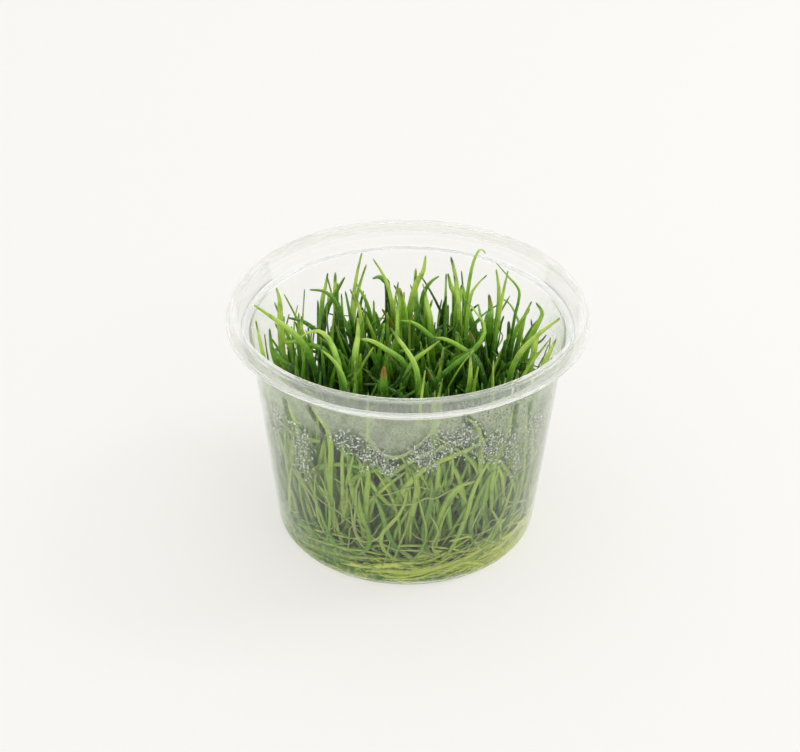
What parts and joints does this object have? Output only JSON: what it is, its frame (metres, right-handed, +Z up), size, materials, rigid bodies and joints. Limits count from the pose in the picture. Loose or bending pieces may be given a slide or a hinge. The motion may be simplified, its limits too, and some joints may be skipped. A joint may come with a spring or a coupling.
{
  "type": "tissue culture lilaeopsis brasiliensis in its clear plastic cup",
  "caption": "Grass-leaved aquarium plant grown in a clear tapered culture cup: tufts of narrow leaves on a mat of runners, some tips above the open rim.",
  "frame": {"origin": "centre of the cup's base, on the surface that it stands on", "axes": "+Z up along the cup's axis, -Y towards the side that the picture shows, +X to its right"},
  "size_m": [0.101, 0.101, 0.0764],
  "materials": {
    "clear_plastic": "clear, thin, slightly hazy",
    "runners": "damp, yellow-green",
    "pale_root": "damp, pale",
    "leaf_green": "satin, grass green"
  },
  "bodies": {
    "root": {"cup": "clear_plastic", "runner_mat": "runners", "runner_01": "pale_root", "runner_02": "pale_root", "runner_03": "pale_root", "plantlet_01": "leaf_green", "plantlet_02": "leaf_green", "plantlet_03": "leaf_green", "plantlet_04": "leaf_green", "plantlet_05": "leaf_green", "plantlet_06": "leaf_green", "plantlet_07": "leaf_green", "plantlet_08": "leaf_green", "plantlet_09": "leaf_green", "plantlet_10": "leaf_green", "plantlet_11": "leaf_green", "plantlet_12": "leaf_green", "plantlet_13": "leaf_green", "plantlet_14": "leaf_green", "plantlet_15": "leaf_green", "plantlet_16": "leaf_green", "plantlet_17": "leaf_green", "plantlet_18": "leaf_green", "plantlet_19": "leaf_green", "plantlet_20": "leaf_green", "plantlet_21": "leaf_green", "plantlet_22": "leaf_green", "plantlet_23": "leaf_green", "plantlet_24": "leaf_green", "plantlet_25": "leaf_green", "plantlet_26": "leaf_green", "plantlet_27": "leaf_green", "plantlet_28": "leaf_green", "plantlet_29": "leaf_green", "plantlet_30": "leaf_green", "plantlet_31": "leaf_green", "plantlet_32": "leaf_green", "plantlet_33": "leaf_green", "plantlet_34": "leaf_green", "plantlet_35": "leaf_green"}
  },
  "joints": []
}
